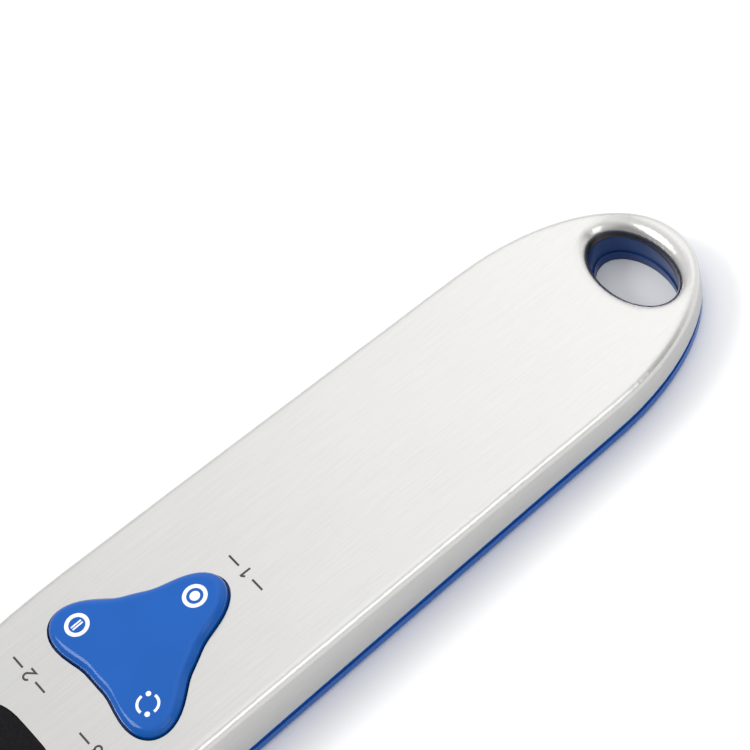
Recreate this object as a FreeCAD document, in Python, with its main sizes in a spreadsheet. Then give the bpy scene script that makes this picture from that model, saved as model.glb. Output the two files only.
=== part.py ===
import FreeCAD, Part
import math
import os
import re

os.makedirs("parts", exist_ok=True)
V = FreeCAD.Vector
doc = FreeCAD.newDocument("spoon_scale")
dims = doc.addObject("Spreadsheet::Sheet", "dims")

# Driving sizes in mm. +X points to the hanging hole, +Z up, z = 0 is the flat back.
SIZES = [
    # handle outline seen from above
    ("x_nose", -79.0), ("x_neck", -70.0), ("x_wide", -5.0), ("x_tail", 62.0), ("x_end", 86.6),
    ("w_neck", 9.2), ("w_wide", 16.05), ("w_tail", 14.95), ("nose_power", 3.0), ("end_power", 2.1),
    # height of the steel top along the handle
    ("top_nose", 10.4), ("top_display", 11.15), ("top_key", 10.75), ("top_mid", 9.3),
    ("top_hole", 7.3), ("top_end", 6.6),
    # steel skin
    ("skin", 0.5), ("skin_low", 3.2), ("skin_round", 1.2),
    # hanging hole
    ("hole_x", 78.7), ("hole_long", 4.37), ("hole_cross", 7.05), ("hole_round", 2.0),
    ("collar_low", 3.7), ("ring_wall", 1.9), ("ring_split", 1.6),
    # frame and back cover
    ("band_low", 2.0), ("band_in", 0.42), ("anchor_low", 2.6), ("wall_in", 0.62), ("wall", 1.2),
    ("wall_high", 4.9), ("ring_gap", 0.05), ("boss_r", 1.75), ("boss_tail_r", 2.6),
    ("prop_r", 2.0), ("prop_front_x", -42.5), ("prop_front_y", 6.0), ("prop_back_x", 46.0),
    ("prop_back_y", 8.6),
    ("deck_low", 3.2), ("deck_high", 4.4), ("cover_in", 0.2), ("cover_floor", 1.6),
    ("cover_wall", 1.4), ("cover_round", 1.1),
    ("mouth_half", 6.6), ("mouth_high", 8.4), ("mouth_depth", 4.0),
    # display
    ("win_x", -29.5), ("win_long", 12.9), ("win_half", 9.8), ("win_power", 3.7),
    ("lens_gap", 0.12), ("lens_rim", 1.0), ("lens_low", 9.5), ("lens_shelf", 10.2),
    ("lcd_x", -40.0), ("lcd_length", 20.5), ("lcd_half", 8.2), ("lcd_low", 8.0), ("glass", 0.7),
    ("holder_rim", 1.0), ("glass_gap", 0.1), ("zebra_wide", 1.2), ("zebra_half", 7.5),
    # three-lobed key
    ("key_mean", 9.26), ("key_lobe", 2.66), ("key_waist", 0.55), ("key_top", 12.1),
    ("key_round", 1.15), ("key_gap", 0.3), ("key_rim", 0.9), ("key_low", 9.0), ("key_shelf", 9.7),
    ("lobe_radius", 8.53), ("post_r", 1.3), ("post_low", 8.7), ("key_travel", 0.3),
    # switches
    ("switch_side", 5.0), ("switch_high", 8.2), ("stem_r", 1.1), ("stem_gap", 0.05),
    ("stem_seat", 7.4),
    # circuit board
    ("board_low", 5.6), ("board_thick", 1.0), ("board_front", -45.5), ("board_step", -20.0),
    ("board_back", 48.0), ("board_half_front", 8.0), ("board_half", 10.5),
    ("board_screw_x", 17.0), ("board_screw_y", 8.2), ("chip_x", 29.0), ("chip_r", 4.6),
    ("chip_high", 1.1),
    # coin cell and its round door
    ("cell_x", 33.0), ("cell_r", 10.0), ("cell_thick", 3.2), ("cell_low", 1.75),
    ("pocket_r", 10.5), ("open_r", 11.0), ("recess_r", 12.6), ("recess_deep", 1.0),
    ("door_gap", 0.15), ("door_thick", 0.95), ("lug_r", 12.1), ("lug_low", 1.65),
    ("lug_high", 2.2), ("lug_angle", 30.0), ("coin_slot", 2.2), ("coin_deep", 0.6),
    ("strip", 0.2), ("notch_gap", 0.2), ("notch_turn", 57.0), ("notch_extra", 6.0),
    # load cell
    ("beam_front", -76.8), ("beam_length", 30.0), ("beam_half", 4.0), ("beam_low", 3.6),
    ("beam_thick", 5.0), ("flex_r", 1.9), ("flex_gap", 7.0), ("flex_slot", 1.2),
    ("gauge_long", 9.0), ("gauge_half", 2.2), ("gauge_thick", 0.12),
    # spoon socket
    ("socket_front", -88.0), ("socket_back", -77.6), ("socket_half", 6.0), ("socket_low", 2.0),
    ("socket_high", 7.9), ("arm_back", -67.6), ("slot_half", 4.05), ("slot_low", 3.5),
    ("slot_high", 7.0), ("slot_end", -79.6),
    # spoon
    ("tang_half", 4.0), ("tang_low", 3.55), ("tang_high", 6.6), ("tang_end", -79.9),
    ("bowl_x", -122.0), ("bowl_long", 30.0), ("bowl_half", 22.0), ("bowl_deep", 13.6),
    ("bowl_rim", 14.0), ("bowl_wall", 1.6), ("shank_back", -88.3), ("shank_bend", -92.6),
    ("shank_front", -97.5), ("shank_power", 4.0),
    # screws
    ("screw_r", 0.8), ("screw_gap", 0.05), ("head_r", 1.5), ("head_gap", 0.15), ("head_high", 0.75),
    ("bolt_a", -74.2), ("bolt_b", -70.2), ("bolt_c", -54.6), ("bolt_d", -50.2), ("bolt_top", 6.4),
    ("case_front_x", -62.0), ("case_front_y", 6.1), ("case_back_x", 61.5), ("case_top", 4.3),
    # ribbon of the load cell
    ("ribbon_half", 1.6), ("ribbon_thick", 0.4),
]
for row, (name, value) in enumerate(SIZES, start=1):
    dims.set("A%d" % row, name)
    dims.set("B%d" % row, str(value))
    dims.setAlias("B%d" % row, name)
doc.recompute()
NAMES = {name for name, value in SIZES}


def size(name):
    return float(dims.get(name))


def bind(obj, prop, rule):
    """Drive a property by a rule written with sheet aliases."""
    text = re.sub(r"[a-z]\w*", lambda m: "dims." + m.group(0) if m.group(0) in NAMES else m.group(0),
                  str(rule))
    obj.setExpression(prop, text)


def place(obj, x, y, z):
    for axis, rule in (("x", x), ("y", y), ("z", z)):
        bind(obj, "Placement.Base." + axis, rule)


def box(name, x, y, z, length, width, height):
    obj = doc.addObject("Part::Box", name)
    bind(obj, "Length", length)
    bind(obj, "Width", width)
    bind(obj, "Height", height)
    place(obj, x, y, z)
    return obj


def slab(name, x0, x1, half, z0, z1, y=0):
    """Box between two stations and two levels, centred across the handle."""
    wide = "2*(%s)" % half
    return box(name, x0, "%s-(%s)" % (y, half), z0, "(%s)-(%s)" % (x1, x0), wide,
               "(%s)-(%s)" % (z1, z0))


def rod(name, x, y, z0, z1, radius):
    obj = doc.addObject("Part::Cylinder", name)
    bind(obj, "Radius", radius)
    bind(obj, "Height", "(%s)-(%s)" % (z1, z0))
    place(obj, x, y, z0)
    return obj


def join(name, pieces):
    obj = doc.addObject("Part::MultiFuse", name)
    obj.Shapes = pieces
    return obj


def cut(name, base, tool):
    obj = doc.addObject("Part::Cut", name)
    obj.Base = base
    obj.Tool = tool
    return obj


def free(name, shape):
    """A shape no primitive gives: a spline outline or a loft."""
    obj = doc.addObject("Part::Feature", name)
    obj.Shape = shape
    obj.Placement = FreeCAD.Placement()
    return obj


def smooth_loop(points):
    """Closed smooth face through points that go once round."""
    curve = Part.BSplineCurve()
    curve.interpolate(Points=points, PeriodicFlag=True)
    return Part.Face(Part.Wire([curve.toShape()]))


def prism(points, low, high):
    face = smooth_loop([V(p.x, p.y, low) for p in points])
    return face.extrude(V(0, 0, high - low))


def body_half(x):
    """Half width of the handle between its two rounded ends."""
    neck, wide, tail = size("w_neck"), size("w_wide"), size("w_tail")
    if x < size("x_wide"):
        part = (x - size("x_neck")) / (size("x_wide") - size("x_neck"))
        part = max(0.0, part)
        return neck + (wide - neck) * part * part * (3 - 2 * part)
    return wide + (tail - wide) * (x - size("x_wide")) / (size("x_tail") - size("x_wide"))


def cap_points(start, reach, power, steps):
    """Rounded end that leaves the sides smoothly."""
    points = []
    for i in range(1, steps):
        turn = math.pi / 2 * i / steps
        x = start + reach * math.sin(turn) ** (2 / power)
        points.append(V(x, body_half(x) * math.cos(turn) ** (2 / power), 0))
    return points


def inset(points, depth):
    """Move closed outline points inward along their normals."""
    count = len(points)
    moved = []
    for i, p in enumerate(points):
        along = points[(i + 1) % count] - points[i - 1]
        along.normalize()
        moved.append(p + V(-along.y, along.x, 0) * depth)
    return moved


def handle_outline(depth):
    tail = cap_points(size("x_tail"), size("x_end") - size("x_tail"), size("end_power"), 10)
    nose = cap_points(size("x_neck"), size("x_nose") - size("x_neck"), size("nose_power"), 8)
    stations = 14
    step = (size("x_tail") - size("x_neck")) / stations
    side = [V(size("x_neck") + step * i, body_half(size("x_neck") + step * i), 0)
            for i in range(stations + 1)]
    upper = list(reversed(nose)) + side + tail
    lower = [V(p.x, -p.y, 0) for p in reversed(upper)]
    ring = [V(size("x_nose"), 0, 0)] + upper + [V(size("x_end"), 0, 0)] + lower
    ring.reverse()
    return inset(ring, depth)


def hole(grow, low, high):
    """Solid of the oval hanging hole, grown sideways."""
    curve = Part.Ellipse(V(0, size("hole_cross") + grow, low), V(size("hole_long") + grow, 0, low),
                         V(0, 0, low))
    face = Part.Face(Part.Wire([curve.toShape()]))
    solid = face.extrude(V(0, 0, high - low))
    solid.translate(V(size("hole_x"), 0, 0))
    return solid


def window(grow, low, high):
    """Solid of the display window, grown sideways."""
    points = []
    for i in range(40):
        turn = 2 * math.pi * i / 40
        c, s = math.cos(turn), math.sin(turn)
        power = 2 / size("win_power")
        u = math.copysign(abs(c) ** power, c)
        w = math.copysign(abs(s) ** power, s)
        points.append(V(size("win_x") + (size("win_long") + grow) * u,
                        (size("win_half") + grow) * w, 0))
    return prism(points, low, high)


def key_solid(grow, low, high):
    """Solid of the three-lobed key, grown sideways."""
    points = []
    for i in range(48):
        turn = 2 * math.pi * i / 48
        reach = (size("key_mean") + size("key_lobe") * math.cos(3 * turn)
                 + size("key_waist") * math.cos(6 * turn))
        points.append(V(reach * math.cos(turn), reach * math.sin(turn), 0))
    return prism(inset(points, -grow), low, high)


def under_top(drop):
    """Everything below the arched top surface, lowered by drop."""
    stations = [("x_nose", "top_nose"), ("win_x", "top_display"), (0, "top_key"),
                (40, "top_mid"), ("hole_x", "top_hole"), ("x_end", "top_end")]
    points = []
    for at, level in stations:
        x = size(at) if isinstance(at, str) else at
        points.append(V(x, 0, size(level) - drop))
    spline = Part.BSplineCurve()
    spline.interpolate(points)
    first, last = points[0], points[-1]
    far = 3.0
    ahead = first - V(far, 0, 0)
    behind = last + V(far, 0, 0)
    low = V(0, 0, -5)
    corners = [first, ahead, V(ahead.x, 0, low.z), V(behind.x, 0, low.z), behind, last]
    edges = [Part.makeLine(a, b) for a, b in zip(corners, corners[1:])]
    face = Part.Face(Part.Wire(Part.__sortEdges__([spline.toShape()] + edges)))
    wide = 2 * size("w_wide")
    face.translate(V(0, -wide, 0))
    return face.extrude(V(0, 2 * wide, 0))


def round_body(depth, low):
    """Filled handle with a rolled shoulder and a flared hanging hole."""
    block = prism(handle_outline(depth), low, 14.0).common(under_top(depth))
    rim = [e for e in block.Edges if e.BoundBox.ZMin > size("collar_low") + 1]
    block = block.makeFillet(size("skin_round") - depth, rim)
    plate = under_top(depth).cut(hole(depth, -9, 20.0))
    reach = size("hole_cross") + depth + 0.5
    mouth = [e for e in plate.Edges if e.BoundBox.ZMin > size("collar_low") + 1
             and e.BoundBox.YMax < reach and e.BoundBox.YMin > -reach]
    return block.common(plate.makeFillet(size("hole_round") - depth, mouth))


def mouth_block(low):
    """Opening in the nose for the socket."""
    length = size("mouth_depth") + 6
    half = size("mouth_half")
    return Part.makeBox(length, 2 * half, size("mouth_high") - low,
                        V(size("x_nose") - 6, -half, low))


def top_cover():
    skin = size("skin")
    low = size("skin_low")
    shape = round_body(0.0, low).cut(round_body(skin, low - 1))
    shape = shape.cut(hole(skin + 0.02, low - 1, size("collar_low")))
    shape = shape.cut(key_solid(size("key_gap"), 5, 20)).cut(window(0, 5, 20))
    return free("top_cover", shape.cut(mouth_block(low - 1)))


def inner_frame():
    band = prism(handle_outline(size("band_in")), size("band_low"), size("skin_low"))
    wall = prism(handle_outline(size("wall_in")), size("skin_low"), size("wall_high"))
    core = prism(handle_outline(size("wall_in") + size("wall")), size("band_low") - 1, 9.0)
    deck = prism(handle_outline(size("wall_in") + 0.3), size("deck_low"), size("deck_high"))
    front = Part.makeBox(60, 60, 20, V(size("board_front") - 60.6, -30, -5))
    deck = deck.cut(front)
    beam_back = size("beam_front") + size("beam_length")
    step = Part.makeBox(11.2, 60, size("beam_low") - size("anchor_low"),
                        V(beam_back - 9.8, -30, size("anchor_low")))
    inside = prism(handle_outline(size("wall_in") + 0.3), size("band_low"), size("skin_low"))
    inside = inside.fuse(prism(handle_outline(size("wall_in") + 0.3), size("skin_low"), 6.0))
    shape = band.fuse(wall).cut(core).fuse([deck, step.common(inside)])
    ring = hole(size("ring_wall"), size("ring_split"), size("deck_high"))
    shape = shape.fuse(ring)
    posts = []
    low, high = size("deck_high") - 0.2, size("board_low")
    across = size("board_screw_y")
    for x, y in ((size("board_screw_x"), across), (size("board_screw_x"), -across),
                 (size("prop_front_x"), size("prop_front_y")),
                 (size("prop_front_x"), -size("prop_front_y")),
                 (size("prop_back_x"), size("prop_back_y")),
                 (size("prop_back_x"), -size("prop_back_y"))):
        posts.append(Part.makeCylinder(size("prop_r"), high - low, V(x, y, low)))
    floor = size("cover_floor")
    side = size("case_front_y")
    for y in (side, -side):
        posts.append(Part.makeCylinder(size("boss_r"), size("wall_high") - floor,
                                       V(size("case_front_x"), y, floor)))
    posts.append(Part.makeCylinder(size("boss_tail_r"), size("wall_high") - floor,
                                   V(size("case_back_x"), 0, floor)))
    shape = shape.fuse(posts)
    bore = size("screw_r") + size("screw_gap")
    holes = [hole(0, 0, 12), hole(size("skin") + 0.15, size("collar_low"), 12),
             Part.makeCylinder(size("pocket_r"), 12, V(size("cell_x"), 0, 0))]
    for x, y in ((size("case_front_x"), side), (size("case_front_x"), -side),
                 (size("case_back_x"), 0)):
        holes.append(Part.makeCylinder(bore, 4, V(x, y, 0.5)))
    for x in (size("bolt_c"), size("bolt_d")):
        holes.append(Part.makeCylinder(bore, 4, V(x, 0, 1)))
    for y in (across, -across):
        holes.append(Part.makeCylinder(bore, 4, V(size("board_screw_x"), y, 3.6)))
    holes.append(mouth_block(size("band_low") - 1))
    return free("inner_frame", shape.cut(holes))


def back_cover():
    floor = size("cover_floor")
    outer = prism(handle_outline(size("cover_in")), 0.0, size("band_low"))
    rim = [e for e in outer.Edges if e.BoundBox.ZMax < 0.01]
    outer = outer.makeFillet(size("cover_round"), rim)
    hollow = prism(handle_outline(size("cover_in") + size("cover_wall")), floor, 9.0)
    shape = outer.cut(hollow).fuse(hole(size("ring_wall"), 0.0, size("ring_split")))
    cell = V(size("cell_x"), 0, 0)
    tools = [hole(0, -1, 9), mouth_block(floor), Part.makeCylinder(size("open_r"), 9, cell),
             Part.makeCylinder(size("recess_r"), size("recess_deep"), cell),
             hole(size("ring_wall") + size("ring_gap"), size("ring_split"), 9)]
    for i in range(3):
        notch = Part.makeCylinder(size("lug_r") + size("notch_gap"), 9, cell, V(0, 0, 1),
                                  size("lug_angle") + size("notch_extra"))
        notch.rotate(cell, V(0, 0, 1), 120 * i + size("notch_turn"))
        tools.append(notch)
    side = size("case_front_y")
    for x, y in ((size("case_front_x"), side), (size("case_front_x"), -side),
                 (size("case_back_x"), 0)):
        tools.append(Part.makeCylinder(size("screw_r") + size("screw_gap"), 9, V(x, y, -1)))
        tools.append(Part.makeCylinder(size("head_r") + size("head_gap"), 1.0, V(x, y, 0)))
    return free("back_cover", shape.cut(tools))


def display_lens():
    plug = window(-size("lens_gap"), size("lens_low"), 14.0).common(under_top(0.0))
    return free("display_lens", plug.fuse(window(size("lens_rim"), size("lens_low"),
                                                size("lens_shelf"))))


def lobe_places():
    """Centres of the three lobes, hole side first."""
    reach = size("lobe_radius")
    return [("hold", V(reach, 0, 0))] + [
        (name, V(reach * math.cos(a), reach * math.sin(a), 0))
        for name, a in (("tare", math.radians(120)), ("mode", math.radians(240)))]


def key():
    shape = key_solid(0, size("key_low"), size("key_top"))
    rim = [e for e in shape.Edges if e.BoundBox.ZMin > size("key_top") - 0.01]
    shape = shape.makeFillet(size("key_round"), rim)
    shape = shape.fuse(key_solid(size("key_rim"), size("key_low"), size("key_shelf")))
    posts = [Part.makeCylinder(size("post_r"), size("key_low") - size("post_low") + 0.2,
                               V(p.x, p.y, size("post_low"))) for name, p in lobe_places()]
    return free("key", shape.fuse(posts))


def switches():
    nodes = []
    top = "board_low+board_thick"
    for i, name in enumerate(("hold", "tare", "mode")):
        x = "lobe_radius*cos(%d deg)" % (120 * i)
        y = "lobe_radius*sin(%d deg)" % (120 * i)
        case = box(name + "_case", "%s-switch_side/2" % x, "%s-switch_side/2" % y, top,
                   "switch_side", "switch_side", "switch_high-(%s)" % top)
        well = rod(name + "_well", x, y, "stem_seat", "switch_high+1", "stem_r+stem_gap")
        nodes.append(cut("switch_" + name, case, well))
        stem = rod("stem_" + name, x, y, "stem_seat+key_travel+0.05", "post_low", "stem_r")
        nodes.append(stem)
    return nodes


def main_board():
    low, high = "board_low", "board_low+board_thick"
    front = slab("board_front_part", "board_front", "board_step+1", "board_half_front", low, high)
    back = slab("board_back_part", "board_step", "board_back", "board_half", low, high)
    plate = join("board_plate", [front, back])
    bores = [rod("board_bore_%d" % i, "board_screw_x", "%d*board_screw_y" % side, "board_low-1",
                 "board_low+3", "screw_r+screw_gap") for i, side in enumerate((1, -1))]
    return cut("main_board", plate, join("board_bores", bores))


def controller_chip():
    ball_r = "(chip_r^2+chip_high^2)/(2*chip_high)"
    ball = doc.addObject("Part::Sphere", "chip_ball")
    bind(ball, "Radius", ball_r)
    place(ball, "chip_x", 0, "board_low+board_thick+chip_high-" + ball_r)
    keep = rod("chip_keep", "chip_x", 0, "board_low+board_thick", "board_low+board_thick+3", "chip_r")
    blob = doc.addObject("Part::Common", "controller_chip")
    blob.Base = ball
    blob.Tool = keep
    return blob


def lcd_parts():
    x0, x1 = "lcd_x", "lcd_x+lcd_length"
    top = "board_low+board_thick"
    shell = slab("holder_block", "lcd_x-holder_rim", "lcd_x+lcd_length+holder_rim",
                 "lcd_half+holder_rim", top, "lens_low")
    bay = slab("holder_bay", x0, x1, "lcd_half", "lcd_low", "lens_low+1")
    slot = slab("holder_slot", x1 + "-zebra_wide-0.3", x1 + "-0.1", "zebra_half+0.1", top + "-1",
                "lens_low")
    holder = cut("lcd_holder", shell, join("holder_hollow", [bay, slot]))
    under = slab("glass_under", x0 + "+glass_gap", x1 + "-glass_gap", "lcd_half-glass_gap",
                 "lcd_low", "lcd_low+glass")
    over = slab("glass_over", x0 + "+glass_gap", x1 + "-2", "lcd_half-glass_gap",
                "lcd_low+glass", "lcd_low+2*glass")
    zebra = slab("zebra_strip", x1 + "-zebra_wide-0.2", x1 + "-0.2", "zebra_half", top, "lcd_low")
    return [holder, join("lcd_glass", [under, over]), zebra]


def coin_cell():
    can = rod("cell_can", "cell_x", 0, "cell_low", "cell_low+cell_thick-0.3", "cell_r")
    cap = rod("cell_cap", "cell_x", 0, "cell_low+cell_thick-0.4", "cell_low+cell_thick", "cell_r-1.1")
    return join("coin_cell", [can, cap])


def battery_contacts():
    top = "board_low"
    level = "cell_low+cell_thick"
    foot = slab("minus_foot", "cell_x-7", "cell_x-2", "2", top + "-strip", top)
    riser = slab("minus_riser", "cell_x-2-strip", "cell_x-2", "2", level, top)
    pad = slab("minus_pad", "cell_x-2-strip", "cell_x+4", "2", level, level + "+strip")
    minus = join("contact_negative", [foot, riser, pad])
    wall = slab("plus_wall", "cell_x+cell_r", "cell_x+cell_r+strip", "1.6", "cell_low+0.8", top)
    shelf = slab("plus_foot", "cell_x+cell_r", "cell_x+cell_r+3", "1.6", top + "-strip", top)
    return [minus, join("contact_positive", [wall, shelf])]


def battery_door():
    hub = rod("door_hub", "cell_x", 0, "door_thick-0.1", "cell_low", "open_r-door_gap")
    disc = rod("door_disc", "cell_x", 0, "0", "door_thick", "recess_r-door_gap")
    lugs = []
    for i in range(3):
        lug = rod("door_lug_%d" % i, "cell_x", 0, "lug_low", "lug_high", "lug_r")
        bind(lug, "Angle", "lug_angle")
        bind(lug, "Placement.Rotation.Angle", str(120 * i))
        lug.Placement.Rotation.Axis = V(0, 0, 1)
        lugs.append(lug)
    clear = rod("door_clear", "cell_x", 0, "cell_low", "lug_high+1", "cell_r+0.2")
    stem = [rod("door_stub_%d" % i, "cell_x", 0, "cell_low-0.2", "lug_high", "open_r-door_gap")
            for i in range(3)]
    for i, stub in enumerate(stem):
        bind(stub, "Angle", "lug_angle")
        bind(stub, "Placement.Rotation.Angle", str(120 * i))
        stub.Placement.Rotation.Axis = V(0, 0, 1)
    groove = slab("door_slot", "cell_x-7", "cell_x+7", "coin_slot/2", "0-1", "coin_deep")
    whole = join("door_whole", [hub, disc] + lugs + stem)
    return cut("battery_door", whole, join("door_hollow", [clear, groove]))


def load_cell():
    back = "beam_front+beam_length"
    beam = slab("beam_bar", "beam_front", back, "beam_half", "beam_low", "beam_low+beam_thick")
    middle = "beam_front+beam_length/2"
    level = "beam_low+beam_thick/2"
    tools = []
    for i, side in enumerate((-1, 1)):
        bore = rod("flex_bore_%d" % i, middle + "+%d*flex_gap/2" % side, "0-beam_half-1", level,
                   level + "+2*beam_half+2", "flex_r")
        bore.Placement.Rotation = FreeCAD.Rotation(V(1, 0, 0), -90)
        tools.append(bore)
    tools.append(slab("flex_bar", middle + "-flex_gap/2", middle + "+flex_gap/2", "beam_half+1",
                      level + "-flex_slot/2", level + "+flex_slot/2"))
    for i, bolt in enumerate(("bolt_a", "bolt_b", "bolt_c", "bolt_d")):
        tools.append(rod("beam_bore_%d" % i, bolt, 0, "beam_low-1", "bolt_top+0.3",
                         "screw_r+screw_gap"))
    return cut("load_cell", beam, join("beam_hollow", tools))


def strain_gauges():
    middle = "beam_front+beam_length/2"
    top = "beam_low+beam_thick"
    x0, x1 = middle + "-gauge_long/2", middle + "+gauge_long/2"
    return [slab("strain_gauge_top", x0, x1, "gauge_half", top, top + "+gauge_thick"),
            slab("strain_gauge_bottom", x0, x1, "gauge_half", "beam_low-gauge_thick", "beam_low")]


def spoon_socket():
    block = slab("socket_block", "socket_front", "socket_back", "socket_half", "socket_low",
                 "socket_high")
    arm = slab("socket_arm", "socket_back-1", "arm_back", "beam_half", "socket_low", "beam_low")
    slot = slab("socket_slot", "socket_front-1", "slot_end", "slot_half", "slot_low", "slot_high")
    tools = [slot]
    for i, bolt in enumerate(("bolt_a", "bolt_b")):
        tools.append(rod("socket_bore_%d" % i, bolt, 0, "socket_low-1", "beam_low+1",
                         "screw_r+screw_gap"))
        tools.append(rod("socket_sink_%d" % i, bolt, 0, "socket_low-1", "socket_low+0.9",
                         "head_r+0.1"))
    return cut("spoon_socket", join("socket_whole", [block, arm]), join("socket_hollow", tools))


def grip_spring():
    """Bowed steel leaf between the slot roof and the tang."""
    roof, touch = size("slot_high") - 0.01, size("tang_high") + 0.03
    x0, x1 = size("socket_front") + 1.2, size("slot_end") - 0.6
    middle = (x0 + x1) / 2
    strip = 0.15
    lower = Part.Arc(V(x0, 0, roof - strip), V(middle, 0, touch), V(x1, 0, roof - strip)).toShape()
    upper = Part.Arc(V(x0, 0, roof), V(middle, 0, touch + strip), V(x1, 0, roof)).toShape()
    ends = [Part.makeLine(V(x, 0, roof - strip), V(x, 0, roof)) for x in (x0, x1)]
    face = Part.Face(Part.Wire(Part.__sortEdges__([lower, upper] + ends)))
    face.translate(V(0, -2.5, 0))
    return free("grip_spring", face.extrude(V(0, 5, 0)))


def egg(long, half, deep):
    """Solid of the bowl: the lower half of an ellipsoid below the rim."""
    ball = Part.makeSphere(1.0)
    lower = ball.common(Part.makeBox(4, 4, 4, V(-2, -2, -4)))
    scale = FreeCAD.Matrix()
    scale.scale(V(long, half, deep))
    shape = lower.transformGeometry(scale)
    shape.translate(V(size("bowl_x"), 0, size("bowl_rim")))
    return shape


def section(x, half, low, high):
    """Rounded oblong across the shank."""
    power = 2 / size("shank_power")
    points = []
    for i in range(24):
        turn = 2 * math.pi * (i + 0.5) / 24
        c, s = math.cos(turn), math.sin(turn)
        points.append(V(x, half * math.copysign(abs(c) ** power, c),
                        (low + high) / 2 + (high - low) / 2 * math.copysign(abs(s) ** power, s)))
    curve = Part.BSplineCurve()
    curve.interpolate(Points=points, PeriodicFlag=True)
    return Part.Wire([curve.toShape()])


def spoon():
    long, half, deep = size("bowl_long"), size("bowl_half"), size("bowl_deep")
    wall = size("bowl_wall")
    outer = egg(long, half, deep)
    inner = egg(long - wall, half - wall, deep - wall)
    wide, rim = size("socket_half"), size("bowl_rim")
    low, high = size("socket_low"), size("socket_high")
    back, bend, front = size("shank_back"), size("shank_bend"), size("shank_front")
    shank = Part.makeLoft([section(back, wide, low, high),
                           section(bend, wide + 0.7, low + 2.2, high + 2.4),
                           section(front, wide + 2.0, rim - 5.6, rim - 0.2)], True)
    tang = Part.makeBox(size("tang_end") - back + 1, 2 * size("tang_half"),
                        size("tang_high") - size("tang_low"),
                        V(back - 1, -size("tang_half"), size("tang_low")))
    return free("spoon", outer.fuse([shank, tang]).cut(inner))


def screw(name, x, y, head_low, tip, down):
    """Screw with a cross slot; its head is under the shaft unless down is true."""
    head_top = "(%s)+head_high" % head_low
    head = rod(name + "_head", x, y, head_low, head_top, "head_r")
    if down:
        shaft = rod(name + "_shaft", x, y, tip, "(%s)+0.1" % head_low, "screw_r")
        face = "%s-0.35" % head_top
        top = head_top + "+1"
    else:
        shaft = rod(name + "_shaft", x, y, head_top + "-0.1", tip, "screw_r")
        face = "(%s)-1" % head_low
        top = "(%s)+0.35" % head_low
    one = box(name + "_slot_a", "(%s)-1" % x, "(%s)-0.2" % y, face, "2", "0.4",
              "(%s)-(%s)" % (top, face))
    two = box(name + "_slot_b", "(%s)-0.2" % x, "(%s)-1" % y, face, "0.4", "2",
              "(%s)-(%s)" % (top, face))
    return cut(name, join(name + "_solid", [head, shaft]), join(name + "_cross", [one, two]))


def screws():
    nodes = []
    for name, x in (("weigh_screw_front", "bolt_a"), ("weigh_screw_back", "bolt_b")):
        nodes.append(screw(name, x, "0", "socket_low+0.9-head_high", "bolt_top", False))
    for name, x in (("anchor_screw_front", "bolt_c"), ("anchor_screw_back", "bolt_d")):
        nodes.append(screw(name, x, "0", "anchor_low-head_high", "bolt_top", False))
    for name, x, y in (("case_screw_left", "case_front_x", "case_front_y"),
                       ("case_screw_right", "case_front_x", "0-case_front_y"),
                       ("case_screw_tail", "case_back_x", "0")):
        nodes.append(screw(name, x, y, "1-head_high", "case_top", False))
    for name, side in (("board_screw_left", "1"), ("board_screw_right", "-1")):
        nodes.append(screw(name, "board_screw_x", side + "*board_screw_y",
                           "board_low+board_thick", "deck_high-0.6", True))
    return nodes


def gauge_ribbon():
    """Flat four-core ribbon from the gauge to the board, tangent arcs between runs."""
    half, thick = size("ribbon_half"), size("ribbon_thick")
    start = size("beam_front") + size("beam_length") / 2 + 3.0
    high = size("beam_low") + size("beam_thick") + size("gauge_thick") + thick / 2
    low = size("board_low") + size("board_thick") + thick / 2
    edge = size("beam_front") + size("beam_length")
    route = [V(start, 0, high), V(edge + 0.6, 0, high), V(size("board_front") + 1.4, 0, low),
             V(size("board_front") + 4.2, 0, low)]
    edges = []
    here = route[0]
    for i in (1, 2):
        before = route[i] - route[i - 1]
        after = route[i + 1] - route[i]
        turn = before.getAngle(after)
        radius = 0.45 * min(before.Length, after.Length) / math.tan(turn / 2)
        radius = min(radius, 2.5)
        back = radius * math.tan(turn / 2)
        a = route[i] - before.normalize() * back
        b = route[i] + after.normalize() * back
        bisect = (after - before).normalize()
        centre = route[i] + bisect * (radius / math.cos(turn / 2))
        mid = centre - bisect * radius
        edges.append(Part.makeLine(here, a))
        edges.append(Part.Arc(a, mid, b).toShape())
        here = b
        print("ribbon bend radius", round(radius, 3))
    edges.append(Part.makeLine(here, route[3]))
    path = Part.Wire(edges)
    loop = Part.makePolygon([V(start, -half, high - thick / 2), V(start, half, high - thick / 2),
                             V(start, half, high + thick / 2), V(start, -half, high + thick / 2),
                             V(start, -half, high - thick / 2)])
    shape = path.makePipeShell([loop], True, False)
    print("ribbon volume", round(shape.Volume, 3), "expected",
          round(path.Length * 2 * half * thick, 3))
    return free("gauge_ribbon", shape)


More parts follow.
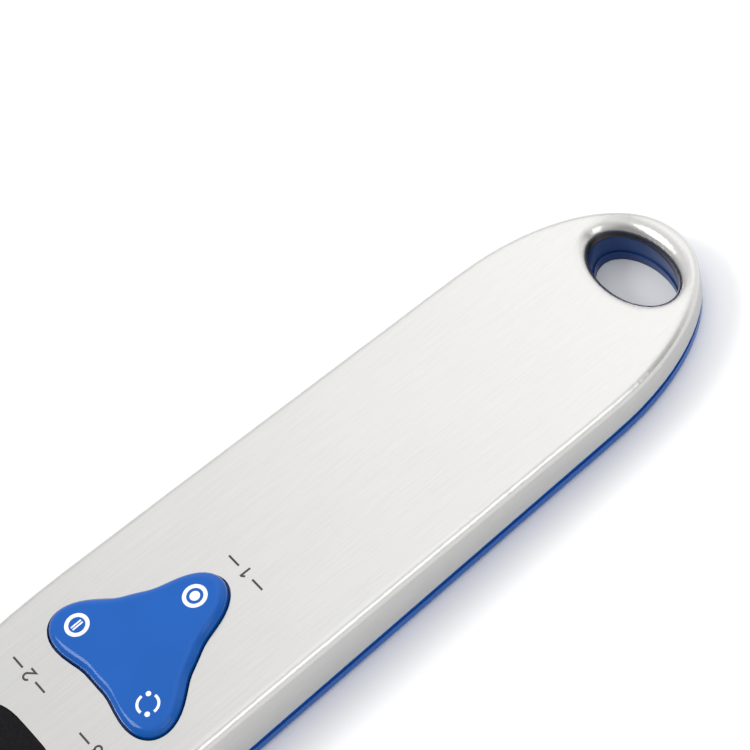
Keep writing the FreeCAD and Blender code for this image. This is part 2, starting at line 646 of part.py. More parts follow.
nodes = [top_cover(), inner_frame(), back_cover(), display_lens(), key(), main_board(),
         controller_chip(), coin_cell(), battery_door(), load_cell(), spoon_socket(),
         grip_spring(), spoon(), gauge_ribbon()]
for group in (switches(), lcd_parts(), battery_contacts(), strain_gauges(), screws()):
    nodes += group
doc.recompute()
for obj in doc.Objects:
    if "Invalid" in obj.State or "Error" in obj.State:
        raise RuntimeError("%s: %s" % (obj.Name, obj.State))
for node in nodes:
    node.Label = node.Name
    shape = node.Shape
    if shape.isNull() or not shape.isValid() or len(shape.Solids) != 1:
        raise RuntimeError("%s: null %s valid %s solids %d" % (
            node.Name, shape.isNull(), shape.isValid(), len(shape.Solids)))
    print(node.Name, round(shape.Volume, 2), [round(v, 2) for v in (
        shape.BoundBox.XMin, shape.BoundBox.XMax, shape.BoundBox.YMin, shape.BoundBox.YMax,
        shape.BoundBox.ZMin, shape.BoundBox.ZMax)])
    shape.exportStep("parts/%s.step" % node.Name)
print("nodes", len(nodes))
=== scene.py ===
import math
import bmesh
import bpy
from bpy.props import FloatProperty, FloatVectorProperty, IntProperty, PointerProperty
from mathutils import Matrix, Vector


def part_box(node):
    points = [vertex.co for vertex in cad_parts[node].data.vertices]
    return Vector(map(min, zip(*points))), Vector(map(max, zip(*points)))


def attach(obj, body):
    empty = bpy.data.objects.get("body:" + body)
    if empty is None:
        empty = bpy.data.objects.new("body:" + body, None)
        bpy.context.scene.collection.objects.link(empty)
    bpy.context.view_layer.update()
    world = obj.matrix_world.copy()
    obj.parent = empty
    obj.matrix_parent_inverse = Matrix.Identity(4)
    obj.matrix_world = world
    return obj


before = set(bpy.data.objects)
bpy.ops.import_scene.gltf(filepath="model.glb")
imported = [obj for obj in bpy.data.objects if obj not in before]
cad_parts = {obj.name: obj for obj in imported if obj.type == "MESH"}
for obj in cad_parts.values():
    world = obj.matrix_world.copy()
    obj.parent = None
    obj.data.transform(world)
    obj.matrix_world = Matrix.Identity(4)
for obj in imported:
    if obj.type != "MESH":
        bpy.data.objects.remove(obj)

bl_info = {
    "name": "Spoon scale looks",
    "version": (1, 0, 0),
    "blender": (4, 5, 0),
    "location": "View3D > Sidebar > Spoon Scale",
    "description": "Finishes, printed marks and studio stage for a spoon scale",
    "category": "Object",
}

MM = 0.001
KEY_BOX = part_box("key")
GLASS_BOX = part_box("lcd_glass")
LENS_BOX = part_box("display_lens")
SPOON_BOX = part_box("spoon")
DOOR_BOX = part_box("battery_door")
STEMS = [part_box("stem_" + name) for name in ("hold", "tare", "mode")]
FLOOR_GAP = 0.02 * MM
SEAT = 0.01 * MM

# The change mark: where its first dot stands and where each arc runs from a dot, in degrees.
MARK_TURN = 50
ARC_FIRST = 38
ARC_LAST = 142

# The zero mark, as shares of the ring's line: half the gap of its bars and their width.
BAR_GAP = 0.36
BAR_WIDE = 0.42
BAR_REACH = 0.72

# Shares of the digit height.
DIGIT_PITCH = 0.54
DIGIT_WIDE = 0.40
DIGIT_PEN = 0.10

# Measure lines of the bowl, as shares of its depth.
RING_FIRST = 0.30
RING_STEP = 0.18

# Where the numerals stand on the cover, in mm from the middle of the key.
NUMERAL_PLACES = (("1", 15.2, -0.9), ("2", -12.4, 6.9), ("3", -12.4, -7.2))
DASH_START = 0.85
DASH_END = 2.1

# Brightness of the studio sky: everywhere, in the dome over the far side, its rise towards the
# tail, over the near side, and low behind the tail.
SKY_BASE = 0.45
SKY_DOME = 0.54
SKY_RISE = 0.54
SKY_NEAR = 0.40
SKY_TAIL = 0.70

# Camera: place in mm, turn in degrees, lens in mm.
CAMERA_PLACE = (-30.22, -174.06, 299.20)
CAMERA_TURN = (32.666, 11.490, -39.364)
CAMERA_LENS = 134.4

# Lamps: name, place in m, width in m, power in W.
LAMPS = (("back_left", (-0.60, 0.45, 0.85), 0.5, 5.5),
         ("near_right", (0.30, -0.95, 0.50), 0.7, 1.4))


def colour_prop(name, description, default):
    return FloatVectorProperty(name=name, description=description, default=default,
                               subtype="COLOR", size=3, min=0.0, max=1.0)


def length_prop(name, description, default):
    return FloatProperty(name=name, description=description, default=default, unit="LENGTH",
                         precision=5)


class ScaleSizes(bpy.types.PropertyGroup):
    """Sizes of the marks and small trims."""
    mark_outer: length_prop("Mark radius", "Outer radius of the round mark on each lobe", 1.60 * MM)
    mark_inner: length_prop("Mark hole", "Inner radius of the ring of each mark", 1.08 * MM)
    mark_dot: length_prop("Mark dot", "Radius of the dot inside the ring", 0.66 * MM)
    ink: length_prop("Ink height", "How far printed marks stand proud", 0.02 * MM)
    numeral: length_prop("Numeral height", "Height of the numerals beside the key", 1.6 * MM)
    stroke: length_prop("Stroke width", "Line width of the numerals", 0.28 * MM)
    digit: length_prop("Digit height", "Height of the digits on the display", 7.4 * MM)
    joint: length_prop("Ring joint", "Level where the two blue rings meet in the hole", 1.6 * MM)
    hole_place: length_prop("Hole place", "Middle of the hanging hole from the key", 78.7 * MM)
    hole_long: length_prop("Hole length", "Half of the hanging hole along the handle", 4.37 * MM)
    hole_cross: length_prop("Hole width", "Half of the hanging hole across the handle", 7.05 * MM)
    lip: length_prop("Lip", "How far the lower blue ring steps into the hole", 0.26 * MM)
    embed: length_prop("Liner seat", "How far the blue liner sits in the wall", 0.03 * MM)
    liner: length_prop("Liner top", "Upper edge of the blue liner in the hole", 4.75 * MM)
    view_shift: length_prop("View shift", "How far the clear view lies towards the bowl", 0.6 * MM)
    view_long: length_prop("View length", "Half of the clear view along the handle", 8.4 * MM)
    view_cross: length_prop("View width", "Half of the clear view across the handle", 7.2 * MM)
    bead: length_prop("Rim bead", "Radius of the rolled rim of the bowl", 0.82 * MM)
    bowl_long: length_prop("Bowl length", "Half of the bowl along the handle", 30.0 * MM)
    bowl_wall: length_prop("Bowl wall", "Wall of the bowl at its measure lines", 1.6 * MM)
    bowl_deep: length_prop("Bowl depth", "Depth of the inside of the bowl", 12.0 * MM)
    ring_line: length_prop("Measure line", "Radius of the bead of each measure line", 0.16 * MM)
    rings: IntProperty(name="Measure rings", description="Raised measure lines in the bowl",
                       default=3, min=0, max=6)


class ScaleColours(bpy.types.PropertyGroup):
    """Colours of the finishes."""
    steel: colour_prop("Steel", "Satin steel of the cover", (0.645, 0.64, 0.625))
    steel_worn: colour_prop("Steel streak", "Tone of the polishing streaks", (0.61, 0.605, 0.595))
    # Side wall: a darker tone painted on the sideways steel faces as shade.
    steel_wall_shade: colour_prop("Steel wall", "Duller steel of the pressed side wall", (0.50, 0.495, 0.48))
    blue: colour_prop("Blue", "Moulded handle parts", (0.008, 0.085, 0.36))
    blue_deep: colour_prop("Deep blue", "Darker clouding of the blue parts", (0.007, 0.076, 0.325))
    key: colour_prop("Key blue", "Three-lobed key", (0.003, 0.095, 0.42))
    ink: colour_prop("White ink", "Marks printed on the key", (0.90, 0.92, 0.95))
    numeral: colour_prop("Dark ink", "Numerals printed on the steel", (0.045, 0.028, 0.028))
    glass: colour_prop("Display glass", "Reflective display behind the window", (0.42, 0.46, 0.42))


class Term:
    """A shader value that takes part in Python sums."""

    def __init__(self, finish, socket):
        self.finish = finish
        self.socket = socket

    def maths(self, operation, first, second):
        return self.finish.node("ShaderNodeMath", {"operation": operation}, {0: first, 1: second})

    def __add__(self, other):
        return self.maths("ADD", self, other)

    __radd__ = __add__

    def __sub__(self, other):
        return self.maths("SUBTRACT", self, other)

    def __rsub__(self, other):
        return self.maths("SUBTRACT", other, self)

    def __mul__(self, other):
        return self.maths("MULTIPLY", self, other)

    __rmul__ = __mul__

    def __abs__(self):
        return self.maths("ABSOLUTE", self, 0.0)

    def largest(self, other):
        return self.maths("MAXIMUM", self, other)

    def smooth(self, low, high):
        """0 below low, 1 above high, soft between."""
        return self.finish.node("ShaderNodeMapRange", {"interpolation_type": "SMOOTHSTEP"},
                                {"Value": self, "From Min": low, "From Max": high})


class Graph:
    """One node tree, built by short calls."""

    def __init__(self, tree):
        self.tree = tree

    def node(self, kind, settings, sockets, output=0):
        made = self.tree.nodes.new(kind)
        for key, value in settings.items():
            setattr(made, key, value)
        for key, value in sockets.items():
            self.feed(made.inputs[key], value)
        return Term(self, made.outputs[output])

    def feed(self, socket, value):
        if isinstance(value, Term):
            self.tree.links.new(value.socket, socket)
        else:
            socket.default_value = value

    def place(self, scale=(1, 1, 1)):
        spot = self.node("ShaderNodeTexCoord", {}, {}, "Object")
        return self.node("ShaderNodeMapping", {}, {"Vector": spot, "Scale": scale})

    def axes(self, source="Object"):
        spot = self.node("ShaderNodeTexCoord", {}, {}, source)
        split = self.tree.nodes.new("ShaderNodeSeparateXYZ")
        self.feed(split.inputs[0], spot)
        return [Term(self, split.outputs[i]) for i in range(3)]

    def noise(self, scale, detail=3.0, rough=0.5, stretch=(1, 1, 1)):
        return self.node("ShaderNodeTexNoise", {}, {
            "Vector": self.place(stretch), "Scale": scale, "Detail": detail, "Roughness": rough})

    def blend(self, share, first, second):
        """Colour between two colours."""
        made = self.tree.nodes.new("ShaderNodeMix")
        made.data_type = "RGBA"
        self.feed(made.inputs[0], share)
        self.feed(made.inputs[6], first if isinstance(first, Term) else (*first, 1.0))
        self.feed(made.inputs[7], second if isinstance(second, Term) else (*second, 1.0))
        return Term(self, made.outputs[2])

    def bump(self, height, distance, strength=1.0):
        return self.node("ShaderNodeBump", {}, {"Height": height, "Distance": distance,
                                                "Strength": strength})


class Finish(Graph):
    """A material built on one Principled shader."""

    def __init__(self, name, **fixed):
        self.material = bpy.data.materials.new(name)
        self.material.use_nodes = True
        Graph.__init__(self, self.material.node_tree)
        self.tree.nodes.clear()
        self.shader = self.tree.nodes.new("ShaderNodeBsdfPrincipled")
        out = self.tree.nodes.new("ShaderNodeOutputMaterial")
        self.tree.links.new(self.shader.outputs["BSDF"], out.inputs["Surface"])
        for key, value in fixed.items():
            self.shader.inputs[key.replace("_", " ")].default_value = value

    def set(self, **varying):
        for key, value in varying.items():
            self.feed(self.shader.inputs[key.replace("_", " ")], value)
        return self.material


def steel(name, first, second, wall_shade_tone, hole, gloss=0.22):
    """Polished sheet: faint lengthwise streaks, fine scuffs, a rougher side wall whose colour is painted
    darker as shade, and painted shade on the wall of the hanging hole.
    """
    made = Finish(name, Metallic=1.0)
    streak = made.noise(1.0, 2.0, 0.6, (70, 3600, 3600))
    fine = made.noise(1.0, 1.0, 0.5, (160, 9000, 9000))
    cloud = made.noise(45.0, 3.0, 0.55)
    scuff = made.noise(700.0, 4.0, 0.7, (1, 0.25, 1)).smooth(0.66, 0.76)
    level = made.node("ShaderNodeSeparateXYZ", {}, {
        "Vector": made.node("ShaderNodeNewGeometry", {}, {}, "Normal")}, 2)
    # Sideways faces of the sheet: rougher, and their colour painted darker as shade.
    wall = 1.0 - abs(level).smooth(0.15, 0.75)
    share = (streak * 0.55 + fine * 0.25 + cloud * 0.35).smooth(0.35, 0.80)
    x, y, z = made.axes()
    # Painted shade in the hanging hole: sideways steel faces inside this oval are coloured near black.
    along = (x - hole[0]) * (1.0 / hole[1])
    across = y * (1.0 / hole[2])
    throat = (1.0 - (along * along + across * across).smooth(1.0, 1.16)) * wall
    # Painted shade: the side wall's colour is blended towards the darker wall tone.
    tone = made.blend(wall * 0.85, made.blend(share, first, second), made.blend(fine, wall_shade_tone, first))
    tone = made.blend(throat, tone, made.blend(fine, (0.075, 0.065, 0.06), (0.14, 0.125, 0.115)))
    rough = (streak - 0.5) * 0.06 + (cloud - 0.5) * 0.06 + wall * 0.16 + scuff * 0.07 + gloss
    grain = (streak * 0.6 + fine * 0.4) * (wall * 3.0 + 1.0)
    return made.set(Base_Color=tone, Roughness=rough, Normal=made.bump(grain, 0.0012 * MM))


def moulded(name, light, deep, gloss=0.17, grain=0.004, speck=900.0):
    """Injection-moulded plastic: slight clouding, orange peel and rubbed spots."""
    made = Finish(name, Specular_IOR_Level=0.28, IOR=1.5)
    cloud = made.noise(55.0, 3.0, 0.5)
    peel = made.noise(speck, 2.0, 0.45)
    rub = made.noise(260.0, 4.0, 0.65).smooth(0.56, 0.74)
    rough = (peel - 0.5) * 0.05 + rub * 0.07 + gloss
    return made.set(Base_Color=made.blend(cloud.smooth(0.3, 0.7), deep, light), Roughness=rough,
                    Normal=made.bump(peel, grain * MM))


def plain(name, light, deep, metal=0.0, gloss=0.4, speck=700.0, grain=0.01):
    """Small parts: two close tones, grain in the gloss and a light texture."""
    made = Finish(name, Metallic=metal)
    tone = made.noise(speck * 0.3, 3.0, 0.5)
    grit = made.noise(speck, 3.0, 0.6)
    return made.set(Base_Color=made.blend(tone.smooth(0.35, 0.65), deep, light),
                    Roughness=(grit - 0.5) * 0.12 + gloss, Normal=made.bump(grit, grain * MM))


def ink(name, colour, metal=0.0):
    """Printed ink with a slightly broken edge of tone."""
    made = Finish(name, Metallic=metal)
    grit = made.noise(5200.0, 2.0, 0.6)
    dark = tuple(c * 0.82 for c in colour)
    return made.set(Base_Color=made.blend(grit.smooth(0.4, 0.62), dark, colour),
                    Roughness=grit * 0.1 + 0.32, Normal=made.bump(grit, 0.002 * MM))


def window_glass(name, middle, half):
    """Clear window with a black printed border, told apart by place."""
    made = Finish(name, Specular_IOR_Level=0.14, IOR=1.49)
    x, y, z = made.axes()
    soft = 0.15 * MM
    across = (abs(x - middle.x) - half.x).largest(abs(y - middle.y) - half.y)
    border = across.smooth(-soft, soft)
    smear = made.noise(150.0, 4.0, 0.6)
    fleck = made.noise(2600.0, 2.0, 0.5)
    colour = made.blend(fleck.smooth(0.3, 0.7), (0.002, 0.002, 0.003), (0.005, 0.005, 0.006))
    return made.set(Base_Color=colour, Alpha=border * 0.9 + 0.10, Roughness=smear * 0.06 + 0.03,
                    Normal=made.bump(smear, 0.002 * MM))


def display_face(name, colour):
    """Reflective display: fine segment haze over a grey ground."""
    made = Finish(name)
    haze = made.noise(90.0, 2.0, 0.5)
    grit = made.noise(4200.0, 2.0, 0.6)
    dark = tuple(c * 0.86 for c in colour)
    return made.set(Base_Color=made.blend((haze * 0.6 + grit * 0.4).smooth(0.35, 0.65), dark, colour),
                    Roughness=grit * 0.12 + 0.30, Normal=made.bump(grit, 0.002 * MM))


def circuit(name):
    """Solder mask over a lattice of tracks."""
    made = Finish(name)
    lane = made.node("ShaderNodeTexWave", {"wave_type": "BANDS", "bands_direction": "Y"}, {
        "Vector": made.place((1, 1, 1)), "Scale": 180.0, "Distortion": 6.0, "Detail": 1.0}, 1)
    track = lane.smooth(0.62, 0.70)
    grit = made.noise(1500.0, 2.0, 0.5)
    return made.set(Base_Color=made.blend(track, (0.010, 0.085, 0.035), (0.025, 0.16, 0.06)),
                    Roughness=grit * 0.12 + 0.24, Normal=made.bump(track + grit * 0.2, 0.02 * MM))


def dress(material, *names):
    for name in names:
        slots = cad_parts[name].data.materials
        slots.clear()
        slots.append(material)


def sizes(context):
    return context.scene.spoon_scale_sizes


def colours(context):
    return context.scene.spoon_scale_colours


def mesh_piece(name, mesh, material, body):
    mesh.normal_update()
    data = bpy.data.meshes.new(name)
    mesh.to_mesh(data)
    mesh.free()
    data.materials.append(material)
    piece = bpy.data.objects.new(name, data)
    bpy.context.scene.collection.objects.link(piece)
    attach(piece, body)
    return piece


def prism(mesh, outline, low, high):
    """Closed flat plate over an outline that goes round once."""
    under = [mesh.verts.new((p[0], p[1], low)) for p in outline]
    over = [mesh.verts.new((p[0], p[1], high)) for p in outline]
    count = len(outline)
    mesh.faces.new(list(reversed(under)))
    mesh.faces.new(over)
    for i in range(count):
        j = (i + 1) % count
        mesh.faces.new((under[i], under[j], over[j], over[i]))


def oval_ring(mesh, centre, inner, outer, low, high, steps=72):
    """Closed flat ring between two ovals, each given by its two half sizes."""
    loops = []
    for radii, level in ((inner, low), (outer, low), (outer, high), (inner, high)):
        loops.append([mesh.verts.new((centre[0] + radii[0] * math.cos(2 * math.pi * i / steps),
                                      centre[1] + radii[1] * math.sin(2 * math.pi * i / steps),
                                      level)) for i in range(steps)])
    for a, b in zip(loops, loops[1:] + loops[:1]):
        for i in range(steps):
            j = (i + 1) % steps
            mesh.faces.new((a[i], a[j], b[j], b[i]))


def ring(mesh, centre, inner, outer, low, high, steps=72):
    oval_ring(mesh, centre, (inner, inner), (outer, outer), low, high, steps)


def disc_outline(centre, radius, steps=48):
    return [(centre[0] + radius * math.cos(2 * math.pi * i / steps),
             centre[1] + radius * math.sin(2 * math.pi * i / steps)) for i in range(steps)]


def stroke_outline(points, width):
    """Outline of a pen line of one width with square ends."""
    left, right = [], []
    spots = [Vector(p) for p in points]
    runs = [(b - a).normalized() for a, b in zip(spots, spots[1:])]
    for i, p in enumerate(spots):
        before, after = runs[max(i - 1, 0)], runs[min(i, len(runs) - 1)]
        along = (before + after).normalized()
        side = Vector((-along.y, along.x)) * width / 2 / max(along.dot(after), 0.4)
        left.append(p + side)
        right.append(p - side)
    return right + list(reversed(left))


def arc_points(centre, radius, start, end, steps=16):
    """Points along an arc, angles in degrees."""
    turns = [math.radians(start + (end - start) * i / steps) for i in range(steps + 1)]
    return [(centre[0] + radius * math.cos(t), centre[1] + radius * math.sin(t)) for t in turns]


def tube(mesh, path, radius, sides=16):
    """Closed tube along a closed flat path."""
    count = len(path)
    hoops = []
    for i, p in enumerate(path):
        along = (path[(i + 1) % count] - path[i - 1]).normalized()
        out = along.cross(Vector((0, 0, 1))).normalized()
        hoops.append([mesh.verts.new(p + out * radius * math.cos(2 * math.pi * k / sides)
                                     + Vector((0, 0, radius * math.sin(2 * math.pi * k / sides))))
                      for k in range(sides)])
    for i in range(count):
        a, b = hoops[i], hoops[(i + 1) % count]
        for k in range(sides):
            n = (k + 1) % sides
            mesh.faces.new((a[k], a[n], b[n], b[k]))
    bmesh.ops.recalc_face_normals(mesh, faces=mesh.faces)


NUMERALS = {
    "1": [[(0.06, 0.5), (0.06, -0.5)], [(-0.24, 0.22), (0.0, 0.42)]],
    "2": [arc_points((0, 0.2), 0.29, 165, -38, 14) + [(-0.3, -0.46), (0.32, -0.46)]],
    "3": [arc_points((0, 0.235), 0.25, 150, -75, 12), arc_points((0, -0.225), 0.28, 85, -150, 14)],
}


def turned(points, centre, height):
    """Reading frame to handle frame: tops point to the bowl, lines read across."""
    return [(centre[0] - p[1] * height, centre[1] + p[0] * height) for p in points]


class SCALE_OT_cover(bpy.types.Operator):
    """Finish the steel cover"""
    bl_idname = "spoon_scale.cover"
    bl_label = "Steel cover"

    def execute(self, context):
        s, c = sizes(context), colours(context)
        hole = (s.hole_place, s.hole_long, s.hole_cross)
        dress(steel("satin_steel", tuple(c.steel_worn), tuple(c.steel), tuple(c.steel_wall_shade), hole),
              "top_cover")
        return {"FINISHED"}


class SCALE_OT_mouldings(bpy.types.Operator):
    """Finish the blue mouldings"""
    bl_idname = "spoon_scale.mouldings"
    bl_label = "Blue mouldings"

    def execute(self, context):
        s, c = sizes(context), colours(context)
        blue, deep = tuple(c.blue), tuple(c.blue_deep)
        rings = moulded("frame_blue", blue, deep, 0.22, 0.006)
        dress(rings, "inner_frame", "back_cover")
        # Painted shade: the rings lining the hanging hole are a darker copy of the blue, put where the
        # hole lies in shade.
        shade_blue = moulded("throat_shade_blue", tuple(v * 0.55 for v in blue), tuple(v * 0.5 for v in deep), 0.3)
        throat = Vector((s.hole_long, s.hole_cross))
        for name, inset, low, high in (("throat_upper", 2 * s.embed, s.joint, s.liner),
                                       ("throat_lower", s.lip, 0.05 * MM, s.joint)):
            mesh = bmesh.new()
            oval_ring(mesh, (s.hole_place, 0), throat - Vector((inset, inset)),
                      throat + Vector((s.embed, s.embed)), low, high, 128)
            mesh_piece(name, mesh, shade_blue, "handle")
        dress(moulded("door_blue", blue, deep, 0.26, 0.008, 1400.0), "battery_door")
        dress(moulded("socket_blue", blue, deep, 0.24, 0.006), "spoon_socket")
        return {"FINISHED"}


class SCALE_OT_key(bpy.types.Operator):
    """Finish the three-lobed key and print its marks"""
    bl_idname = "spoon_scale.key"
    bl_label = "Key and marks"

    def execute(self, context):
        s, c = sizes(context), colours(context)
        light = tuple(c.key)
        dress(moulded("key_blue", light, tuple(v * 0.9 for v in light), 0.13, 0.002), "key")
        low = KEY_BOX[1].z - SEAT
        high = KEY_BOX[1].z + s.ink
        white = ink("white_ink", tuple(c.ink))
        middles = [(lo + hi) / 2 for lo, hi in STEMS]
        line = (s.mark_outer - s.mark_inner)
        for name, spot in zip(("still", "zero", "change"), middles):
            mesh = bmesh.new()
            if name != "change":
                ring(mesh, spot, s.mark_inner, s.mark_outer, low, high)
            if name == "still":
                prism(mesh, disc_outline(spot, s.mark_dot), low, high)
            if name == "zero":
                for side in (-1, 1):
                    y = spot.y + side * line * BAR_GAP
                    reach = s.mark_inner * BAR_REACH
                    bar = [(spot.x - reach, y), (spot.x + reach, y)]
                    prism(mesh, stroke_outline(bar, line * BAR_WIDE), low, high)
            if name == "change":
                reach = (s.mark_outer + s.mark_inner) / 2
                for turn in (MARK_TURN, MARK_TURN + 180):
                    dot = arc_points(spot, reach, turn, turn, 1)[0]
                    prism(mesh, disc_outline(dot, line * 0.66, 32), low, high)
                    curve = arc_points(spot, reach, turn + ARC_FIRST, turn + ARC_LAST, 22)
                    prism(mesh, stroke_outline(curve, line * 0.68), low, high)
            mesh_piece("mark_" + name, mesh, white, "key")
        return {"FINISHED"}


class SCALE_OT_numerals(bpy.types.Operator):
    """Print a numeral beside each lobe"""
    bl_idname = "spoon_scale.numerals"
    bl_label = "Numerals"

    def execute(self, context):
        s, c = sizes(context), colours(context)
        dark = ink("dark_ink", tuple(c.numeral))
        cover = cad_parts["top_cover"]
        height, width = s.numeral, s.stroke
        for text, x, y in NUMERAL_PLACES:
            mesh = bmesh.new()
            spot = (x * MM, y * MM)
            lines = [turned(line, spot, height) for line in NUMERALS[text]]
            for side in (-1, 1):
                dash = [(side * DASH_START, 0.0), (side * DASH_END, 0.0)]
                lines.append(turned(dash, spot, height))
            for line in lines:
                prism(mesh, stroke_outline(line, width), 0.0, s.ink)
            for vert in mesh.verts:
                lift = vert.co.z
                hit, place, normal, face = cover.ray_cast(Vector((vert.co.x, vert.co.y, 0.05)),
                                                          Vector((0, 0, -1)))
                if not hit:
                    raise RuntimeError("numeral %s misses the cover" % text)
                vert.co.z = place.z - SEAT + lift
            bmesh.ops.recalc_face_normals(mesh, faces=mesh.faces)
            mesh_piece("numeral_" + text, mesh, dark, "handle")
        return {"FINISHED"}


class SCALE_OT_display(bpy.types.Operator):
    """Finish the display window and set its digits"""
    bl_idname = "spoon_scale.display"
    bl_label = "Display"

    def execute(self, context):
        s, c = sizes(context), colours(context)
        middle = Vector(((LENS_BOX[0].x + LENS_BOX[1].x) / 2 - s.view_shift, 0, 0))
        half = Vector((s.view_long, s.view_cross, 0))
        dress(window_glass("window_glass", middle, half), "display_lens")
        dress(display_face("display_face", tuple(c.glass)), "lcd_glass")
        dark = ink("segment_ink", (0.02, 0.022, 0.025))
        height = s.digit
        wide, pen = height * DIGIT_WIDE, height * DIGIT_PEN
        top = GLASS_BOX[1].z + SEAT
        corner = {"a": ((-1, 1), (1, 1)), "b": ((1, 1), (1, 0)), "c": ((1, 0), (1, -1)),
                  "d": ((1, -1), (-1, -1)), "e": ((-1, -1), (-1, 0)), "f": ((-1, 0), (-1, 1)),
                  "g": ((-1, 0), (1, 0))}
        for index in range(3):
            mesh = bmesh.new()
            centre = (middle.x, (index - 1) * DIGIT_PITCH * height)
            for key in "abcdef":
                a, b = [Vector((p[0] * wide / 2, p[1] * height / 2)) for p in corner[key]]
                along = (b - a).normalized() * pen * 0.62
                line = turned([a + along, b - along], centre, 1.0)
                prism(mesh, stroke_outline(line, pen), top, top + s.ink)
            bmesh.ops.recalc_face_normals(mesh, faces=mesh.faces)
            mesh_piece("digit_%d" % index, mesh, dark, "handle")
        mesh = bmesh.new()
        dot = (middle.x + height / 2, DIGIT_PITCH / 2 * height)
        prism(mesh, disc_outline(dot, pen * 0.6, 24), top, top + s.ink)
        mesh_piece("digit_point", mesh, dark, "handle")
        return {"FINISHED"}


class SCALE_OT_bowl(bpy.types.Operator):
    """Finish the bowl, roll its rim and raise its measure lines"""
    bl_idname = "spoon_scale.bowl"
    bl_label = "Bowl"

    def execute(self, context):
        s, c = sizes(context), colours(context)
        blue = moulded("bowl_blue", tuple(c.blue), tuple(c.blue_deep), 0.16, 0.004)
        dress(blue, "spoon")
        lo, hi = SPOON_BOX
        half = hi.y
        long = s.bowl_long
        centre = Vector((lo.x + long, 0, 0))
        rim = hi.z - s.bead * 0.75
        steps = 160
        turns = [2 * math.pi * i / steps for i in range(steps)]
        inset = s.bead * 0.98
        mesh = bmesh.new()
        tube(mesh, [centre + Vector(((long - inset) * math.cos(t), (half - inset) * math.sin(t), rim))
                    for t in turns], s.bead)
        mesh_piece("bowl_rim", mesh, blue, "spoon")
        wall = s.bowl_wall
        for i in range(s.rings):
            share = RING_FIRST + RING_STEP * i
            level = hi.z - s.bowl_deep * share
            shrink = math.sqrt(1 - share * share)
            mesh = bmesh.new()
            tube(mesh, [centre + Vector(((long - wall) * shrink * math.cos(t),
                                         (half - wall) * shrink * math.sin(t), level))
                        for t in turns], s.ring_line, 8)
            mesh_piece("measure_ring_%d" % i, mesh, blue, "spoon")
        return {"FINISHED"}


class SCALE_OT_back(bpy.types.Operator):
    """Print turn marks on the back, round the battery door"""
    bl_idname = "spoon_scale.back"
    bl_label = "Back marks"

    def execute(self, context):
        s, c = sizes(context), colours(context)
        pale = ink("pale_ink", (0.55, 0.62, 0.75))
        lo, hi = DOOR_BOX
        centre = (lo + hi) / 2
        reach = (hi.x - lo.x) / 2
        low, high = -FLOOR_GAP, 0.01 * MM
        mesh = bmesh.new()
        arrow = arc_points(centre, reach * 0.78, 205, 262, 18)
        prism(mesh, stroke_outline(arrow, 0.45 * MM), low, high)
        tip = Vector(arc_points(centre, reach * 0.78, 270, 270, 1)[0])
        prism(mesh, [(tip.x, tip.y), (tip.x - 1.7 * MM, tip.y + 0.9 * MM),
                     (tip.x - 1.5 * MM, tip.y - 1.0 * MM)], low, high)
        mesh_piece("door_arrow", mesh, pale, "battery_door")
        for name, turn in (("shut", 90), ("open", 150)):
            mesh = bmesh.new()
            spot = arc_points(centre, reach + 1.3 * MM, turn, turn, 1)[0]
            if name == "shut":
                prism(mesh, disc_outline(spot, 0.5 * MM, 32), low, high)
            else:
                ring(mesh, spot, 0.32 * MM, 0.55 * MM, low, high, 32)
            mesh_piece("turn_mark_" + name, mesh, pale, "handle")
        return {"FINISHED"}


class SCALE_OT_inside(bpy.types.Operator):
    """Finish the parts inside the handle"""
    bl_idname = "spoon_scale.inside"
    bl_label = "Inside parts"

    def execute(self, context):
        dress(circuit("circuit_board"), "main_board")
        dress(plain("black_epoxy", (0.02, 0.02, 0.021), (0.01, 0.01, 0.01), 0.0, 0.3), "controller_chip")
        dress(plain("white_moulding", (0.80, 0.80, 0.78), (0.72, 0.72, 0.70)), "lcd_holder",
              "stem_hold", "stem_tare", "stem_mode")
        dress(plain("contact_rubber", (0.62, 0.40, 0.40), (0.50, 0.30, 0.31)), "zebra_strip")
        dress(plain("switch_black", (0.035, 0.035, 0.036), (0.02, 0.02, 0.02)), "switch_hold",
              "switch_tare", "switch_mode")
        dress(plain("cell_plate", (0.80, 0.80, 0.79), (0.68, 0.68, 0.68), 1.0, 0.22), "coin_cell")
        dress(plain("spring_strip", (0.78, 0.75, 0.66), (0.66, 0.63, 0.55), 1.0, 0.28),
              "contact_negative", "contact_positive", "grip_spring")
        dress(plain("milled_aluminium", (0.80, 0.81, 0.82), (0.70, 0.71, 0.72), 1.0, 0.34), "load_cell")
        dress(plain("gauge_film", (0.62, 0.40, 0.10), (0.45, 0.27, 0.06)), "strain_gauge_top",
              "strain_gauge_bottom")
        dress(plain("ribbon_sleeve", (0.48, 0.48, 0.50), (0.36, 0.36, 0.38)), "gauge_ribbon")
        screws = [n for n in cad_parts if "_screw_" in n]
        dress(plain("zinc_plate", (0.70, 0.71, 0.73), (0.56, 0.57, 0.60), 1.0, 0.26), *screws)
        return {"FINISHED"}


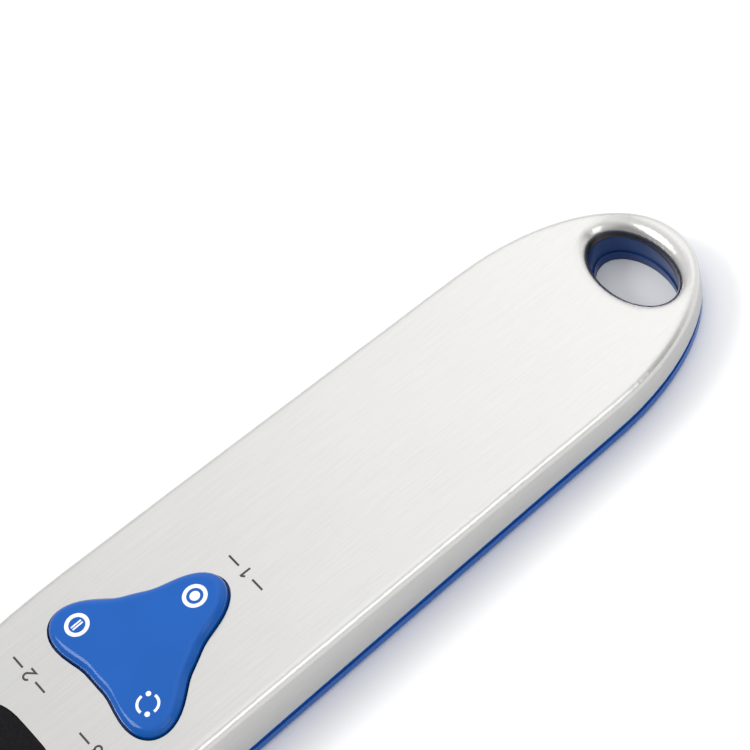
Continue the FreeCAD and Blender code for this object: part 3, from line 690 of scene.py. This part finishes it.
class SCALE_OT_stage(bpy.types.Operator):
    """Set the floor, the studio light and the camera"""
    bl_idname = "spoon_scale.stage"
    bl_label = "Stage"

    def execute(self, context):
        scene = context.scene
        made = Finish("studio_floor", Specular_IOR_Level=0.1)
        grit = made.noise(8.0, 2.0, 0.5)
        made.set(Base_Color=made.blend(grit, (0.93, 0.93, 0.93), (0.95, 0.95, 0.95)),
                 Roughness=grit * 0.1 + 0.7)
        mesh = bmesh.new()
        bmesh.ops.create_grid(mesh, x_segments=1, y_segments=1, size=3.0)
        data = bpy.data.meshes.new("floor")
        mesh.to_mesh(data)
        mesh.free()
        data.materials.append(made.material)
        floor = bpy.data.objects.new("floor", data)
        floor.location.z = -FLOOR_GAP * 1.5
        scene.collection.objects.link(floor)
        world = bpy.data.worlds.new("studio")
        world.use_nodes = True
        scene.world = world
        sky = Graph(world.node_tree)
        x, y, z = sky.axes("Generated")
        dome = (x * 0.1 + y * 0.5 + z * 0.86).smooth(0.25, 0.98)
        near = (z * 0.75 - y * 0.66).smooth(0.55, 1.0)
        tail = x.smooth(0.62, 0.98)
        overhead = x.smooth(0.0, 0.45) * SKY_RISE + SKY_DOME
        tone = dome * overhead + near * SKY_NEAR + tail * SKY_TAIL + SKY_BASE
        back = world.node_tree.nodes["Background"]
        sky.feed(back.inputs["Color"], sky.node("ShaderNodeCombineXYZ", {}, {0: tone, 1: tone, 2: tone}))
        scene.view_settings.view_transform = "Standard"
        for name, place, width, power in LAMPS:
            lamp = bpy.data.lights.new(name, "AREA")
            lamp.energy = power
            lamp.size = width
            holder = bpy.data.objects.new(name, lamp)
            holder.location = place
            aim = Vector((0.02, 0, 0)) - Vector(place)
            holder.rotation_euler = aim.to_track_quat("-Z", "Y").to_euler()
            scene.collection.objects.link(holder)
        camera = bpy.data.cameras.new("camera")
        camera.lens = CAMERA_LENS
        camera.sensor_width = 36.0
        camera.clip_start = 0.01
        camera.clip_end = 20.0
        holder = bpy.data.objects.new("camera", camera)
        holder.rotation_euler = [math.radians(a) for a in CAMERA_TURN]
        holder.location = Vector(CAMERA_PLACE) * MM
        scene.collection.objects.link(holder)
        scene.camera = holder
        return {"FINISHED"}


OPERATORS = (SCALE_OT_cover, SCALE_OT_mouldings, SCALE_OT_key, SCALE_OT_numerals,
             SCALE_OT_display, SCALE_OT_bowl, SCALE_OT_back, SCALE_OT_inside, SCALE_OT_stage)


class SCALE_PT_panel(bpy.types.Panel):
    """Shows the sizes and colours of the spoon scale and a button for each step"""
    bl_idname = "SCALE_PT_panel"
    bl_label = "Spoon scale"
    bl_space_type = "VIEW_3D"
    bl_region_type = "UI"
    bl_category = "Spoon Scale"

    def draw(self, context):
        for group in (sizes(context), colours(context)):
            column = self.layout.column(align=True)
            for key in group.__annotations__:
                column.prop(group, key)
        for operator in OPERATORS:
            self.layout.operator(operator.bl_idname)


CLASSES = (ScaleSizes, ScaleColours) + OPERATORS + (SCALE_PT_panel,)


def register():
    for cls in CLASSES:
        bpy.utils.register_class(cls)
    bpy.types.Scene.spoon_scale_sizes = PointerProperty(type=ScaleSizes)
    bpy.types.Scene.spoon_scale_colours = PointerProperty(type=ScaleColours)


def unregister():
    del bpy.types.Scene.spoon_scale_colours
    del bpy.types.Scene.spoon_scale_sizes
    for cls in reversed(CLASSES):
        bpy.utils.unregister_class(cls)


def main():
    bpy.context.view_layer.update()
    register()
    for operator in OPERATORS:
        group, name = operator.bl_idname.split(".")
        getattr(getattr(bpy.ops, group), name)()


if __name__ == "__main__":
    main()
